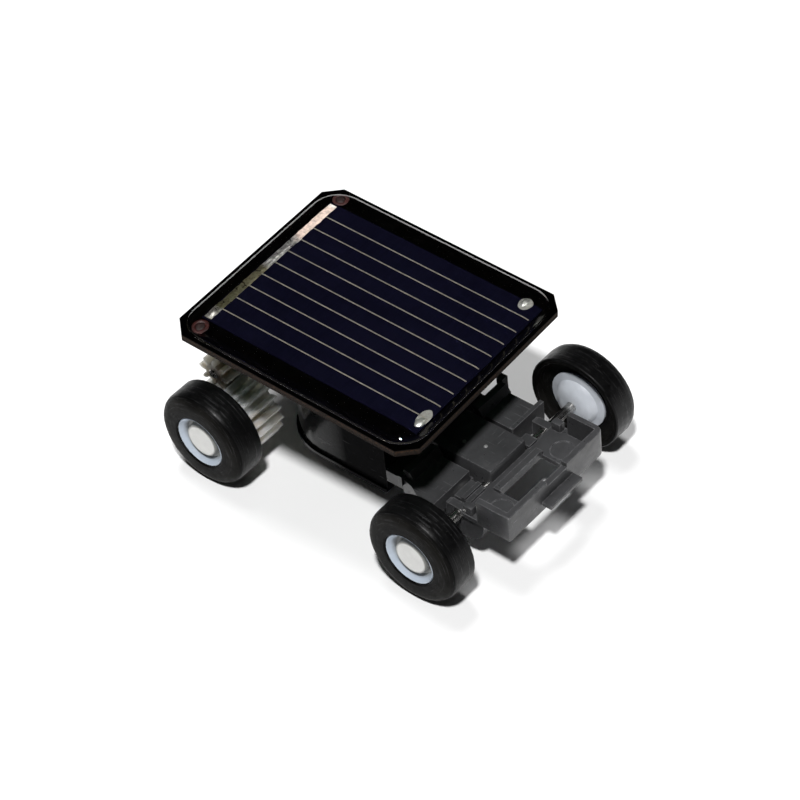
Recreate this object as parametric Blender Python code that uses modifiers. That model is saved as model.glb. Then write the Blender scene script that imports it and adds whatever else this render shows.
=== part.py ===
"""Miniature solar-powered toy car: a panel glued on a moulded chassis, a small motor and one gear pair.

+X is forward, +Y is the car's left and +Z is up. The origin lies on the ground under the middle of the
car's overall length and width. Lengths below are in millimetres and angles in degrees; MM turns a
length into Blender's metres.
"""

import math

import bmesh
import bpy
from mathutils import Matrix, Vector

MM = 0.001
WELD = 1e-6
RUNNING_GAP = 0.04
SEAT_GAP = 0.02

# Overall layout
WIDTH = 22.0
WHEELBASE = 20.4
REAR_X = -11.1
FRONT_X = REAR_X + WHEELBASE
WHEEL_R = 4.05
AXLE_Z = WHEEL_R
AXLE_R = 0.4

# Wheels: distances run inwards from the wheel's outer face
TYRE_WIDTH = 2.65
TYRE_BORE_R = 2.2
TYRE_SHOULDER_R = 0.85
TYRE_LIP = 0.12
TYRE_SEGMENTS = 40
HUB_LENGTH = 3.0
HUB_BEAD_R = 2.45
HUB_CAP_R = 1.42
HUB_CAP_DEPTH = 0.28
DISH_DEPTH = 0.76
DISH_FLOOR_R = 1.68
HUB_SEGMENTS = 28
AXLE_TO_HUB_FACE = 0.9

# Gear pair
MODULE = 0.29
GEAR_TEETH = 20
PINION_TEETH = 8
PRESSURE_ANGLE = 20.0
BACKLASH = 0.07
GEAR_FACE = 2.9
PINION_FACE = 2.3
GEAR_Y = -6.45
MESH_SLACK = 0.05
GEAR_DISTANCE = MODULE * (GEAR_TEETH + PINION_TEETH) / 2 + MESH_SLACK
MOTOR_DIRECTION = 103.0

# Motor, its axis parallel to Y
MOTOR_X = REAR_X + GEAR_DISTANCE * math.cos(math.radians(MOTOR_DIRECTION))
MOTOR_Z = AXLE_Z + GEAR_DISTANCE * math.sin(math.radians(MOTOR_DIRECTION))
CAN_R = 2.3
CAN_WALL = 0.2
CAN_NOSE_Y = -3.7
CAN_BACK_Y = 2.4
CAP_THICKNESS = 0.7
SHAFT_R = 0.4
CORE_R = 1.45
CORE_LOW_Y = -1.9
CORE_LENGTH = 2.2
CORE_HUB_R = 0.75
SHOE_THICKNESS = 0.28
SHOE_CUT_Z = 1.05
NECK_HALF = 0.22
POLES = 3
COIL_HALF = 0.42
COIL_LOW_Z = 0.79
COIL_HIGH_Z = 1.03
COIL_OVERHANG = 0.22
COMMUTATOR_GAP = 0.45
MAGNET_INNER_R = 1.57
MAGNET_LOW_Y = -2.4
MAGNET_LENGTH = 3.2
COMMUTATOR_R = 0.62
BRUSH_REACH = 1.7
BRUSH_TAB = 0.35
BRUSH_STEM = 0.6
BRUSH_THICKNESS = 0.14
WIRE_R = 0.16

# Rear body: a tub with a round rear end, open at the top, that carries the rear axle and the motor
TUB_HALF_WIDTH = 5.15
TUB_FRONT_X = 2.3
TUB_CORNER_R = 4.7
TUB_CORNER_X = -4.35
TUB_BOTTOM_Z = 2.0
TUB_WALL = 0.45
TUB_FLOOR = 0.55
TUB_LIP = 0.22
TUB_FOOT_R = 2.4
BEARING_HALF_WIDTH = 2.4
BEARING_R = 1.15
BRACKET_STEP = 0.06
CRADLE_HALF_WIDTH = 1.7
CRADLE_WALL = 0.5
CRADLE_RISE = 0.75

# Front chassis moulding
DECK_BOTTOM_Z = 3.1
SIDE_BLOCK_TOP_Z = 5.4
CENTRE_BLOCK_TOP_Z = 5.8
CENTRE_BLOCK_HALF_WIDTH = 2.05
BLOCK_FRONT_X = 8.2
SIDE_BLOCK_INNER_Y = 2.55
SIDE_BLOCK_OUTER_Y = 5.5
RIDGE_TOP_Z = 6.0
TRAY_HALF_WIDTH = 5.6
TRAY_REAR_X = 11.25
TRAY_FRONT_X = 14.3
TRAY_FLOOR_REAR_X = 9.75
TRAY_BOTTOM_Z = 4.25
TRAY_FLOOR_Z = 4.65
TRAY_TOP_Z = 6.65
TRAY_WALL = 0.5
TAB_HALF_WIDTH = 1.85
TAB_FRONT_X = 15.15
EAR_R = 1.75
EAR_X = 9.9
EAR_Z = 3.75

# Solar panel, in its own frame: its centre is the middle of the board's underside
PANEL_X = -2.7
PANEL_Z = 12.6
PANEL_TILT = 4.1
PANEL_TURN = 2.4
BOARD_LENGTH = 22.0
BOARD_WIDTH = 19.2
BOARD_THICKNESS = 0.6
BOARD_CHAMFER = 1.25
CELL_REAR = -9.45
CELL_FRONT = 10.1
CELL_HALF_WIDTH = 7.55
CELL_THICKNESS = 0.15
FINGERS = 9
FINGER_PITCH = 1.515
FINGER_WIDTH = 0.09
PRINT_THICKNESS = 0.05
BUSBAR_X = -9.05
BUSBAR_WIDTH = 0.62
BUSBAR_HALF_LENGTH = 7.4
RIBBON_INSET = 0.04
DOME_INSET = 0.3
DOME_THICKNESS = 0.56
DOME_CORNER_R = 2.3
DOME_EDGE_R = 0.48
POCKET_HEIGHT = 0.34
TAPE_THICKNESS = 0.5
TAPE_GAP = 0.04

CAR = bpy.data.collections.new("solar_toy_car")
CUTTERS = bpy.data.collections.new("cutters")

COLOURS = {
    "charcoal_plastic": ((0.060, 0.060, 0.062), 0.45, 0.0),
    "black_gloss_plastic": ((0.010, 0.010, 0.011), 0.15, 0.0),
    "black_rubber": ((0.012, 0.012, 0.012), 0.5, 0.0),
    "white_nylon": ((0.75, 0.78, 0.80), 0.4, 0.0),
    "steel": ((0.60, 0.60, 0.58), 0.3, 1.0),
    "bronze": ((0.50, 0.33, 0.15), 0.45, 1.0),
    "ferrite": ((0.040, 0.038, 0.036), 0.7, 0.0),
    "copper": ((0.72, 0.32, 0.16), 0.35, 1.0),
    "tinned_metal": ((0.70, 0.69, 0.66), 0.35, 1.0),
    "board_laminate": ((0.22, 0.10, 0.045), 0.6, 0.0),
    "silicon": ((0.010, 0.012, 0.035), 0.25, 0.0),
    "silver_print": ((0.60, 0.58, 0.56), 0.5, 0.3),
    "epoxy": ((0.010, 0.010, 0.012), 0.05, 0.0),
    "foam_tape": ((0.70, 0.70, 0.66), 0.9, 0.0),
    "red_wire": ((0.45, 0.020, 0.015), 0.4, 0.0),
    "black_wire": ((0.012, 0.012, 0.012), 0.4, 0.0),
}


def clear_scene():
    for obj in list(bpy.data.objects):
        bpy.data.objects.remove(obj)
    bpy.context.scene.collection.children.link(CAR)
    bpy.context.scene.collection.children.link(CUTTERS)
    CUTTERS.hide_render = True


def make_materials():
    for name, (colour, roughness, metallic) in COLOURS.items():
        material = bpy.data.materials.new(name)
        material.use_nodes = True
        shader = material.node_tree.nodes["Principled BSDF"]
        shader.inputs["Base Color"].default_value = (*colour, 1.0)
        shader.inputs["Roughness"].default_value = roughness
        shader.inputs["Metallic"].default_value = metallic


def new_object(name, data, material=None, parent=None):
    """A new object: a part of the car when it has a material, otherwise a hidden cutter."""
    obj = bpy.data.objects.new(name, data)
    if material:
        CAR.objects.link(obj)
        obj.data.materials.append(bpy.data.materials[material])
    else:
        CUTTERS.objects.link(obj)
        obj.hide_render = True
        obj.display_type = "WIRE"
    obj.parent = parent
    return obj


def new_empty(name, location, rotation=(0.0, 0.0, 0.0)):
    empty = bpy.data.objects.new(name, None)
    empty.location = Vector(location) * MM
    empty.rotation_euler = [math.radians(angle) for angle in rotation]
    CAR.objects.link(empty)
    return empty


def mesh_from(name, build):
    """A mesh whose faces the function build adds to an empty bmesh."""
    mesh = bpy.data.meshes.new(name)
    bm = bmesh.new()
    build(bm)
    bmesh.ops.recalc_face_normals(bm, faces=bm.faces)
    bm.to_mesh(mesh)
    bm.free()
    return mesh


def smooth(obj, angle=35.0):
    obj.data.shade_smooth()
    obj.data.set_sharp_from_angle(angle=math.radians(angle))
    return obj


def bevel(obj, width, segments=2, angle=30.0):
    modifier = obj.modifiers.new("edge", "BEVEL")
    modifier.width = width * MM
    modifier.segments = segments
    modifier.limit_method = "ANGLE"
    modifier.angle_limit = math.radians(angle)
    return obj


def rounded_edge(obj, z, radius, segments=4):
    """Rounds the edge around a prism's end face at height z."""
    bm = bmesh.new()
    bm.from_mesh(obj.data)
    weight = bm.edges.layers.float.new("bevel_weight_edge")
    for edge in bm.edges:
        at_end = all(abs(v.co.z - z * MM) < WELD for v in edge.verts)
        edge[weight] = 1.0 if at_end and edge.calc_face_angle() > 1.0 else 0.0
    bm.to_mesh(obj.data)
    bm.free()
    bevel(obj, radius, segments).modifiers["edge"].limit_method = "WEIGHT"
    return obj


def box(name, low, high, material=None, parent=None):
    """A box between two opposite corners."""
    low, high = Vector(low), Vector(high)
    centre = (low + high) / 2

    def build(bm):
        bmesh.ops.create_cube(bm, size=1.0)
        bmesh.ops.scale(bm, vec=(high - low) * MM, verts=bm.verts)

    obj = new_object(name, mesh_from(name, build), material, parent)
    obj.location = centre * MM
    return obj


AXIS_TURN = {
    "X": Matrix.Rotation(math.pi / 2, 4, "Y"),
    "Y": Matrix.Rotation(-math.pi / 2, 4, "X"),
    "Z": Matrix.Identity(4),
}


def cylinder(name, radius, start, end, axis, centre, material=None, parent=None, segments=24):
    """A cylinder along axis from start to end; centre gives the other two coordinates."""

    def build(bm):
        bmesh.ops.create_cone(
            bm,
            cap_ends=True,
            segments=segments,
            radius1=radius * MM,
            radius2=radius * MM,
            depth=(end - start) * MM,
            matrix=AXIS_TURN[axis],
        )

    obj = new_object(name, mesh_from(name, build), material, parent)
    place = Vector(centre)
    place["XYZ".index(axis)] = (start + end) / 2
    obj.location = place * MM
    return smooth(obj)


def turned(name, profile, segments, location, material=None, parent=None, inward=1.0):
    """A body of revolution about the Y axis. profile is a closed loop of (radius, distance from the
    outer face), and inward is +1 where the distance grows towards +Y and -1 where it grows towards -Y."""
    mesh = bpy.data.meshes.new(name)
    points = [(radius * MM, 0.0, -distance * MM) for radius, distance in profile]
    edges = [(i, (i + 1) % len(points)) for i in range(len(points))]
    mesh.from_pydata(points, edges, [])
    obj = new_object(name, mesh, material, parent)
    screw = obj.modifiers.new("turn", "SCREW")
    screw.axis = "Z"
    screw.steps = segments
    screw.render_steps = segments
    screw.use_merge_vertices = True
    screw.merge_threshold = WELD
    screw.use_smooth_shade = True
    obj.rotation_euler = (math.radians(90.0 * inward), 0.0, 0.0)
    obj.location = Vector(location) * MM
    return obj


def prism(name, outline, low, high, axis, material=None, parent=None):
    """A flat outline drawn as a filled 2D curve and extruded along axis from low to high. The outline is
    in (X, Y) for axis Z, in (X, Z) for axis Y."""
    curve = bpy.data.curves.new(name, "CURVE")
    curve.dimensions = "2D"
    curve.fill_mode = "BOTH"
    curve.extrude = (high - low) / 2 * MM
    spline = curve.splines.new("POLY")
    spline.points.add(len(outline) - 1)
    for point, (u, v) in zip(spline.points, outline):
        point.co = (u * MM, v * MM, 0.0, 1.0)
    spline.use_cyclic_u = True
    guide = bpy.data.objects.new(name + "_outline", curve)
    CUTTERS.objects.link(guide)
    if axis == "Y":
        guide.rotation_euler = (math.pi / 2, 0.0, 0.0)
        guide.location = (0.0, (low + high) / 2 * MM, 0.0)
    else:
        guide.location = (0.0, 0.0, (low + high) / 2 * MM)
    bpy.context.view_layer.update()
    mesh = bpy.data.meshes.new_from_object(guide.evaluated_get(bpy.context.evaluated_depsgraph_get()))
    mesh.transform(guide.matrix_world)
    bpy.data.objects.remove(guide)
    bm = bmesh.new()
    bm.from_mesh(mesh)
    bmesh.ops.remove_doubles(bm, verts=bm.verts, dist=WELD)
    bmesh.ops.recalc_face_normals(bm, faces=bm.faces)
    bm.to_mesh(mesh)
    bm.free()
    mesh.materials.clear()
    return new_object(name, mesh, material, parent)


def combine(obj, others, operation):
    """Boolean modifiers that cut or join the given hidden objects."""
    for other in others:
        modifier = obj.modifiers.new(other.name, "BOOLEAN")
        modifier.operation = operation
        modifier.object = other
    return obj


def cut(obj, *others):
    return combine(obj, others, "DIFFERENCE")


def join(obj, *others):
    return combine(obj, others, "UNION")


def arc(centre, radius, start, end, steps):
    """Points on an arc, both ends included, with angles in degrees."""
    angles = [math.radians(start + (end - start) * i / steps) for i in range(steps + 1)]
    return [(centre[0] + radius * math.cos(a), centre[1] + radius * math.sin(a)) for a in angles]


def rounded_rectangle(low, high, radius, steps=5):
    corners = (
        (high[0] - radius, high[1] - radius, 0),
        (low[0] + radius, high[1] - radius, 90),
        (low[0] + radius, low[1] + radius, 180),
        (high[0] - radius, low[1] + radius, 270),
    )
    points = []
    for x, y, start in corners:
        points += arc((x, y), radius, start, start + 90, steps)
    return points


# Wheels


def tyre_profile():
    """Flat side wall, round outer shoulder, flat tread, a sharp inner edge and a hollow inner side."""
    shoulder = arc((WHEEL_R - TYRE_SHOULDER_R, TYRE_SHOULDER_R), TYRE_SHOULDER_R, -90, 0, 4)
    return [
        (TYRE_BORE_R, TYRE_LIP),
        (TYRE_BORE_R + TYRE_LIP, 0.0),
        *shoulder,
        (WHEEL_R, TYRE_WIDTH - 0.1),
        (WHEEL_R - 0.1, TYRE_WIDTH),
        (WHEEL_R - 0.4, TYRE_WIDTH),
        (WHEEL_R - 0.6, TYRE_WIDTH - 0.55),
        (HUB_BEAD_R + 0.1, TYRE_WIDTH - 0.75),
        (TYRE_BORE_R, TYRE_WIDTH - 0.75),
    ]


def hub_profile():
    """Dished outer ring around a raised cap, a sleeve under the tyre, and a domed inner flange."""
    bore = AXLE_R + SEAT_GAP
    rim = TYRE_BORE_R - SEAT_GAP
    flange = TYRE_WIDTH - 0.75 + SEAT_GAP
    return [
        (bore, AXLE_TO_HUB_FACE),
        (0.0, AXLE_TO_HUB_FACE),
        (0.0, HUB_CAP_DEPTH),
        (HUB_CAP_R - 0.08, HUB_CAP_DEPTH),
        (HUB_CAP_R, HUB_CAP_DEPTH + 0.08),
        (HUB_CAP_R + 0.04, DISH_DEPTH),
        (DISH_FLOOR_R, DISH_DEPTH - 0.04),
        (rim - 0.1, 0.14),
        (rim - 0.05, 0.08),
        (rim, 0.14),
        (rim, flange),
        (HUB_BEAD_R, flange),
        (HUB_BEAD_R, flange + 0.2),
        (1.9, flange + 0.3),
        (1.55, flange + 0.85),
        (0.85, HUB_LENGTH),
        (bore, HUB_LENGTH),
    ]


def wheel(name, parent, side):
    """A rubber tyre on a nylon hub; side is +1 on the car's left and -1 on its right."""
    outer_face = (0.0, side * WIDTH / 2, 0.0)
    turned(name + "_tyre", tyre_profile(), TYRE_SEGMENTS, outer_face, "black_rubber", parent, -side)
    turned(name + "_hub", hub_profile(), HUB_SEGMENTS, outer_face, "white_nylon", parent, -side)


def axle(name, parent):
    half = WIDTH / 2 - AXLE_TO_HUB_FACE - SEAT_GAP
    rod = cylinder(name, AXLE_R, -half, half, "Y", (0.0, 0.0, 0.0), "steel", parent, segments=24)
    return bevel(rod, 0.06, 1, 60.0)


# Gears


def gear_outline(teeth, phase):
    """Involute teeth with backlash, one of them centred on the angle phase, in degrees."""
    pitch_r = MODULE * teeth / 2
    base_r = pitch_r * math.cos(math.radians(PRESSURE_ANGLE))
    tip_r = pitch_r + MODULE
    root_r = pitch_r - 1.25 * MODULE

    def involute(radius):
        """Angle that the flank has turned through between the base circle and this radius."""
        if radius <= base_r:
            return 0.0
        slope = math.acos(base_r / radius)
        return math.tan(slope) - slope

    half_at_pitch = math.pi / (2 * teeth) - BACKLASH / (2 * pitch_r)
    foot_r = max(base_r, root_r)
    middle_r = (foot_r + tip_r) / 2
    radii = (root_r, foot_r, middle_r, tip_r) if foot_r - root_r > 0.02 else (root_r, middle_r, tip_r)
    points = []
    for tooth in range(teeth):
        centre = math.radians(phase) + 2 * math.pi * tooth / teeth
        half = [half_at_pitch + involute(pitch_r) - involute(radius) for radius in radii]
        rising = [(radius, centre - angle) for radius, angle in zip(radii, half)]
        falling = [(radius, centre + angle) for radius, angle in zip(radii, half)]
        points += rising + falling[::-1]
    return [(radius * math.cos(angle), radius * math.sin(angle)) for radius, angle in points]


def make_drive_gear(parent):
    """The gear on the rear axle, with a recessed web on both sides and a hub around the axle."""
    low, high = GEAR_Y - GEAR_FACE / 2, GEAR_Y + GEAR_FACE / 2
    teeth = gear_outline(GEAR_TEETH, MOTOR_DIRECTION)
    gear = prism("drive_gear", teeth, low, high, "Y", "white_nylon", parent)
    web_r = MODULE * GEAR_TEETH / 2 - 1.25 * MODULE - 0.55
    for name, start, end in (("outer", low - 1.0, low + 0.7), ("inner", high - 0.7, high + 1.0)):
        pocket = cylinder("gear_pocket_" + name, web_r, start, end, "Y", (0, 0, 0), parent=parent)
        keep = cylinder("gear_boss_" + name, 0.95, start - 1.0, end + 1.0, "Y", (0, 0, 0), parent=parent)
        cut(gear, cut(pocket, keep))
    bore = cylinder("gear_bore", AXLE_R + SEAT_GAP, low - 1, high + 1, "Y", (0, 0, 0), parent=parent)
    return cut(gear, bore)


def make_pinion(parent):
    low, high = GEAR_Y - PINION_FACE / 2, GEAR_Y + PINION_FACE / 2
    gap_angle = MOTOR_DIRECTION + 180.0 + 180.0 / PINION_TEETH
    pinion = prism("pinion", gear_outline(PINION_TEETH, gap_angle), low, high, "Y", "white_nylon", parent)
    bore = cylinder("pinion_bore", SHAFT_R + SEAT_GAP, low - 1, high + 1, "Y", (0, 0, 0), parent=parent)
    return cut(pinion, bore)


def make_rear_axle():
    hinge = new_empty("rear_axle_line", (REAR_X, 0.0, AXLE_Z))
    axle("rear_axle", hinge)
    wheel("rear_left", hinge, 1)
    wheel("rear_right", hinge, -1)
    make_drive_gear(hinge)


def make_front_axle():
    hinge = new_empty("front_axle_line", (FRONT_X, 0.0, AXLE_Z))
    axle("front_axle", hinge)
    wheel("front_left", hinge, 1)
    wheel("front_right", hinge, -1)


# Motor


def swing(pieces, angle):
    """Turns pieces that hang from the motor's axis around it by angle, in degrees."""
    turn = math.radians(angle)
    for piece in pieces:
        piece.location = Matrix.Rotation(turn, 3, "Y") @ piece.location
        piece.rotation_euler = (0.0, turn, 0.0)


def add_pole(number, core, hinge):
    """One neck and shoe of the core, and the coil wound around the neck."""
    low, high = CORE_LOW_Y, CORE_LOW_Y + CORE_LENGTH
    axis = (0.0, 0.0, 0.0)
    neck = box(f"core_neck_{number}", (-NECK_HALF, low, 0.3), (NECK_HALF, high, 1.4), parent=hinge)
    shoe = cylinder(f"core_shoe_{number}", CORE_R, low, high, "Y", axis, parent=hinge, segments=48)
    inside = cylinder(
        f"core_hollow_{number}", CORE_R - SHOE_THICKNESS, low - 1, high + 1, "Y", axis, parent=hinge
    )
    away = box(f"core_away_{number}", (-3, low - 1, -3), (3, high + 1, SHOE_CUT_Z), parent=hinge)
    cut(shoe, inside, away)
    join(core, neck, shoe)
    coil = box(
        f"coil_{number}",
        (-COIL_HALF, low - COIL_OVERHANG, COIL_LOW_Z),
        (COIL_HALF, high + COIL_OVERHANG, COIL_HIGH_Z),
        "copper",
        hinge,
    )
    gap = NECK_HALF + SEAT_GAP
    hole = box(f"coil_hole_{number}", (-gap, low - 0.03, 0.0), (gap, high + 0.03, 3.0), parent=hinge)
    cut(coil, hole)
    bevel(coil, 0.08, 1, 60.0)
    swing((neck, shoe, inside, away, coil, hole), 360 / POLES * (number - 1))


def make_commutator(hinge):
    low, high = CORE_LOW_Y + CORE_LENGTH + COMMUTATOR_GAP, CAN_BACK_Y - 0.35
    axis = (0.0, 0.0, 0.0)
    commutator = cylinder("commutator", COMMUTATOR_R, low, high, "Y", axis, "copper", hinge, 36)
    bore = cylinder("commutator_bore", SHAFT_R + SEAT_GAP, low - 1, high + 1, "Y", axis, parent=hinge)
    cut(commutator, bore)
    for pole in range(POLES):
        slot = box(f"commutator_slot_{pole}", (-0.04, low - 1, 0.53), (0.04, high + 1, 1.0), parent=hinge)
        swing([slot], 360 / POLES * (pole + 0.5))
        cut(commutator, slot)


def make_rotor():
    """Shaft, three-pole core, three coils and commutator, turning about the motor's axis."""
    hinge = new_empty("motor_shaft_line", (MOTOR_X, 0.0, MOTOR_Z))
    axis = (0.0, 0.0, 0.0)
    shaft_end = GEAR_Y - PINION_FACE / 2 - 0.1
    shaft = cylinder("motor_shaft", SHAFT_R, shaft_end, CAN_BACK_Y + 0.4, "Y", axis, "steel", hinge)
    bevel(shaft, 0.06, 1, 60.0)
    low, high = CORE_LOW_Y, CORE_LOW_Y + CORE_LENGTH
    core = cylinder("armature_core", CORE_HUB_R, low, high, "Y", axis, "steel", hinge, 30)
    for number in range(1, POLES + 1):
        add_pole(number, core, hinge)
    bore = cylinder("core_bore", SHAFT_R + SEAT_GAP, low - 1, high + 1, "Y", axis, parent=hinge)
    cut(core, bore)
    make_commutator(hinge)
    make_pinion(hinge)


def make_motor_case():
    """Steel can, two magnets, sintered bush, end cap and brushes: the motor's fixed half."""
    centre = (MOTOR_X, 0.0, MOTOR_Z)
    can = cylinder("motor_can", CAN_R, CAN_NOSE_Y, CAN_BACK_Y, "Y", centre, "steel", segments=44)
    nose = cylinder("can_nose", 0.95, CAN_NOSE_Y - 0.45, CAN_NOSE_Y + 0.1, "Y", centre)
    hollow = cylinder(
        "can_hollow", CAN_R - CAN_WALL, CAN_NOSE_Y + CAN_WALL, CAN_BACK_Y + 1, "Y", centre, segments=44
    )
    mouth = cylinder("can_mouth", 0.7 + SEAT_GAP, CAN_NOSE_Y - 1, CAN_NOSE_Y + 1, "Y", centre)
    join(can, nose)
    cut(can, hollow, mouth)
    bush = cylinder("motor_bush", 0.7, CAN_NOSE_Y - 0.55, CAN_NOSE_Y + 0.35, "Y", centre, "bronze")
    bush_bore = cylinder(
        "bush_bore", SHAFT_R + RUNNING_GAP, CAN_NOSE_Y - 2, CAN_NOSE_Y + 2, "Y", centre, segments=24
    )
    cut(bush, bush_bore)
    outer_r = CAN_R - CAN_WALL - SEAT_GAP
    start, end = MAGNET_LOW_Y, MAGNET_LOW_Y + MAGNET_LENGTH
    for name, low, high in (("front", MOTOR_X + 0.6, MOTOR_X + 4), ("rear", MOTOR_X - 4, MOTOR_X - 0.6)):
        magnet = cylinder("magnet_" + name, outer_r, start, end, "Y", centre, "ferrite", segments=44)
        inside = cylinder(
            f"magnet_{name}_hollow", MAGNET_INNER_R, start - 1, end + 1, "Y", centre, segments=40
        )
        keep = box(f"magnet_{name}_side", (low, -4, MOTOR_Z - 4), (high, 2, MOTOR_Z + 4))
        cut(magnet, inside)
        combine(magnet, [keep], "INTERSECT")
    cap = cylinder(
        "motor_end_cap", CAN_R - CAN_WALL - SEAT_GAP, CAN_BACK_Y - 0.3, CAN_BACK_Y + 0.1, "Y", centre,
        "white_nylon", segments=44,
    )
    cap_disc = cylinder(
        "cap_disc", CAN_R, CAN_BACK_Y + SEAT_GAP, CAN_BACK_Y + CAP_THICKNESS, "Y", centre, segments=44
    )
    cap_boss = cylinder("cap_boss", 1.0, CAN_BACK_Y, CAN_BACK_Y + CAP_THICKNESS + 0.2, "Y", centre)
    cap_bore = cylinder(
        "cap_bore", SHAFT_R + RUNNING_GAP, CAN_BACK_Y - 1, CAN_BACK_Y + CAP_THICKNESS - 0.1, "Y", centre,
        segments=24,
    )
    join(cap, cap_disc, cap_boss)
    cut(cap, cap_bore)
    for name, side in (("upper", 1), ("lower", -1)):
        near = COMMUTATOR_R + RUNNING_GAP
        far = near + BRUSH_THICKNESS
        arm_top, arm_bottom = sorted((MOTOR_Z + side * near, MOTOR_Z + side * far))
        start_x, end_x = MOTOR_X - 0.3, MOTOR_X + BRUSH_REACH
        arm_low, arm_high = (start_x, CAN_BACK_Y - 1.1, arm_top), (end_x, CAN_BACK_Y - 0.6, arm_bottom)
        brush = box("brush_" + name, arm_low, arm_high, "copper")
        stem = box(
            f"brush_{name}_stem",
            (end_x - BRUSH_TAB, CAN_BACK_Y - 0.8, arm_top),
            (end_x, CAN_BACK_Y + CAP_THICKNESS + BRUSH_STEM, arm_bottom),
        )
        join(brush, stem)
        slot = box(
            f"cap_slot_{name}",
            (end_x - BRUSH_TAB - SEAT_GAP, CAN_BACK_Y - 1, arm_top - SEAT_GAP),
            (end_x + SEAT_GAP, CAN_BACK_Y + 2, arm_bottom + SEAT_GAP),
        )
        cut(cap, slot)


# Rear body


def underside_z(x):
    """Height of the board's underside over the car's centre line."""
    return PANEL_Z - (x - PANEL_X) * math.tan(math.radians(PANEL_TILT))


def tub_outline(inset, front):
    half = TUB_HALF_WIDTH - inset
    radius = TUB_CORNER_R - inset
    side = TUB_HALF_WIDTH - TUB_CORNER_R
    left = arc((TUB_CORNER_X, side), radius, 90, 180, 10)
    right = arc((TUB_CORNER_X, -side), radius, 180, 270, 10)
    return [(front, -half), (front, half), *left, *right]


def make_rear_body():
    """Open-topped black tub under the panel, with the rear axle's bearing and the motor's cradle."""
    above = 14.0
    foot_z = TUB_BOTTOM_Z + 0.2
    walls = tub_outline(0.0, TUB_FRONT_X + 2 * TUB_FOOT_R)
    tub = prism("rear_body", walls, foot_z, above, "Z", "black_gloss_plastic")
    rounded_edge(tub, foot_z, TUB_FOOT_R)
    front_cut = box("tub_front_cut", (TUB_FRONT_X, -8, 0), (TUB_FRONT_X + 3 * TUB_FOOT_R, 8, above + 1))
    lip = prism("tub_lip", tub_outline(-TUB_LIP, TUB_FRONT_X), TUB_BOTTOM_Z, TUB_BOTTOM_Z + 0.3, "Z")
    floor_z = TUB_BOTTOM_Z + TUB_FLOOR
    hollow = prism("tub_hollow", tub_outline(TUB_WALL, TUB_FRONT_X - TUB_WALL), floor_z, above + 1, "Z")
    rounded_edge(hollow, floor_z, TUB_FOOT_R - TUB_WALL / 2)
    top_cut = box("tub_top_cut", (-14, -8, 0), (14, 8, 6))
    top_cut.rotation_euler = (0.0, math.radians(PANEL_TILT), 0.0)
    lift = Vector((0.0, 0.0, 3.0 - TAPE_THICKNESS - 2 * TAPE_GAP))
    top_cut.location = (Vector((PANEL_X, 0.0, PANEL_Z)) + top_cut.rotation_euler.to_matrix() @ lift) * MM
    bearing = cylinder(
        "rear_bearing", BEARING_R, -BEARING_HALF_WIDTH, BEARING_HALF_WIDTH, "Y", (REAR_X, 0, AXLE_Z)
    )
    tub_rear_x = TUB_CORNER_X - TUB_CORNER_R
    bracket_half_width = BEARING_HALF_WIDTH - BRACKET_STEP
    bracket_half_height = BEARING_R - BRACKET_STEP
    bracket = box(
        "rear_bracket",
        (REAR_X, -bracket_half_width, AXLE_Z - bracket_half_height),
        (tub_rear_x + TUB_WALL / 2, bracket_half_width, AXLE_Z + bracket_half_height),
    )
    cradle_r = CAN_R + CRADLE_WALL
    cradle = box(
        "motor_cradle",
        (MOTOR_X - cradle_r, -CRADLE_HALF_WIDTH, AXLE_Z + 0.8),
        (tub_rear_x + TUB_WALL / 2, CRADLE_HALF_WIDTH, MOTOR_Z + CRADLE_RISE),
    )
    can_seat = cylinder(
        "can_seat", CAN_R + SEAT_GAP, -TUB_HALF_WIDTH, TUB_HALF_WIDTH, "Y", (MOTOR_X, 0, MOTOR_Z), segments=44
    )
    undercut = cylinder("cradle_undercut", BEARING_R, -8, 8, "Y", (MOTOR_X - 2.6, 0, AXLE_Z + 0.6))
    axle_bore = cylinder("rear_axle_bore", AXLE_R + RUNNING_GAP, -8, 8, "Y", (REAR_X, 0, AXLE_Z), segments=24)
    cut(tub, front_cut)
    join(tub, lip)
    cut(tub, hollow)
    join(tub, bearing, bracket, cradle)
    cut(tub, can_seat, undercut, axle_bore, top_cut)
    return tub


# Front chassis moulding


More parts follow.
